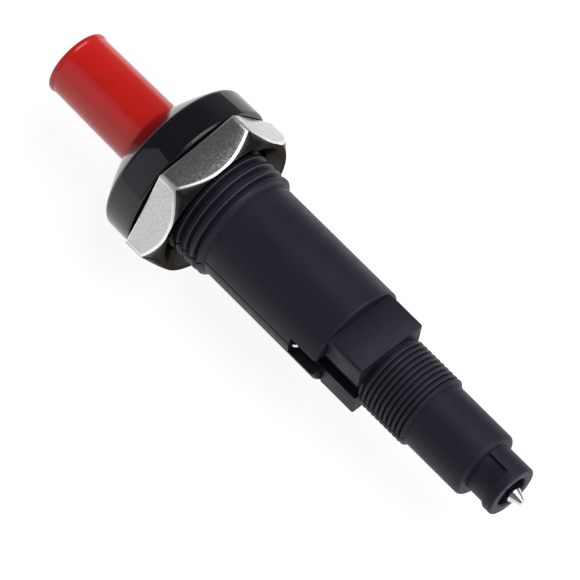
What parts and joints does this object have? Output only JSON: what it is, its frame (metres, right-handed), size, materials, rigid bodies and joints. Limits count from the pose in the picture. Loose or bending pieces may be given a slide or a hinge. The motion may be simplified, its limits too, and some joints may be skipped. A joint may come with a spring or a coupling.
{
  "type": "piezo igniter",
  "caption": "Panel-mounted push-button piezo igniter: red plunger, domed bezel with hexagon nut, slim barrel, square block, threaded rear neck and a pin electrode in a cable nozzle.",
  "frame": {"origin": "on the axis, in the plane of the flange's rear seat, where the front of a panel lies", "axes": "+Y along the axis from the button to the electrode, +Z out of one flat of the square block, +X out of the flat with the groove and the barrel's window"},
  "size_m": [0.0318, 0.1075, 0.03],
  "materials": {
    "black_plastic": "black glass-filled plastic, glossy on the bezel and softly matte behind it",
    "red_plastic": "glossy red plastic",
    "nut_metal": "dull plated steel with polished chamfers",
    "white_plastic": "natural white acetal",
    "natural_plastic": "natural nylon",
    "spring_steel": "drawn spring wire",
    "hammer_steel": "turned and hardened steel",
    "plated_strip": "nickel-plated strip",
    "crystal_ceramic": "fired piezo ceramic",
    "brass": "bare brass",
    "nickel": "bright nickel plate"
  },
  "bodies": {
    "body": {"front_sleeve": "black_plastic", "rear_insulator": "black_plastic", "guide_sleeve": "natural_plastic", "anvil": "hammer_steel", "ground_strip": "plated_strip", "crystal_tube": "natural_plastic", "front_crystal": "crystal_ceramic", "crystal_shim": "brass", "rear_crystal": "crystal_ceramic", "contact_slug": "brass", "electrode_pin": "nickel", "return_spring": "spring_steel"},
    "button": {"push_button": "red_plastic", "cam_sleeve": "white_plastic", "impact_spring": "spring_steel"},
    "hammer": {"hammer": "hammer_steel", "hammer_pin": "spring_steel"},
    "nut": {"panel_nut": "nut_metal"}
  },
  "joints": [
    {"name": "button_press", "type": "slide", "parent": "body", "child": "button", "axis": [0, 1, 0], "range_m": [0, 0.01], "stiffness_N_per_m": 800, "springref_m": -0.004, "deforming": ["return_spring"]},
    {"name": "hammer_strike", "type": "slide", "parent": "body", "child": "hammer", "axis": [0, 1, 0], "range_m": [0, 0.007], "deforming": ["impact_spring"]},
    {"name": "nut_travel", "type": "slide", "parent": "body", "child": "nut", "axis": [0, 1, 0], "range_m": [-0.00025, 0.0055]}
  ],
  "couplings": [
    {"joint": "hammer_strike", "follows": "button_press", "ratio": 0.7}
  ]
}
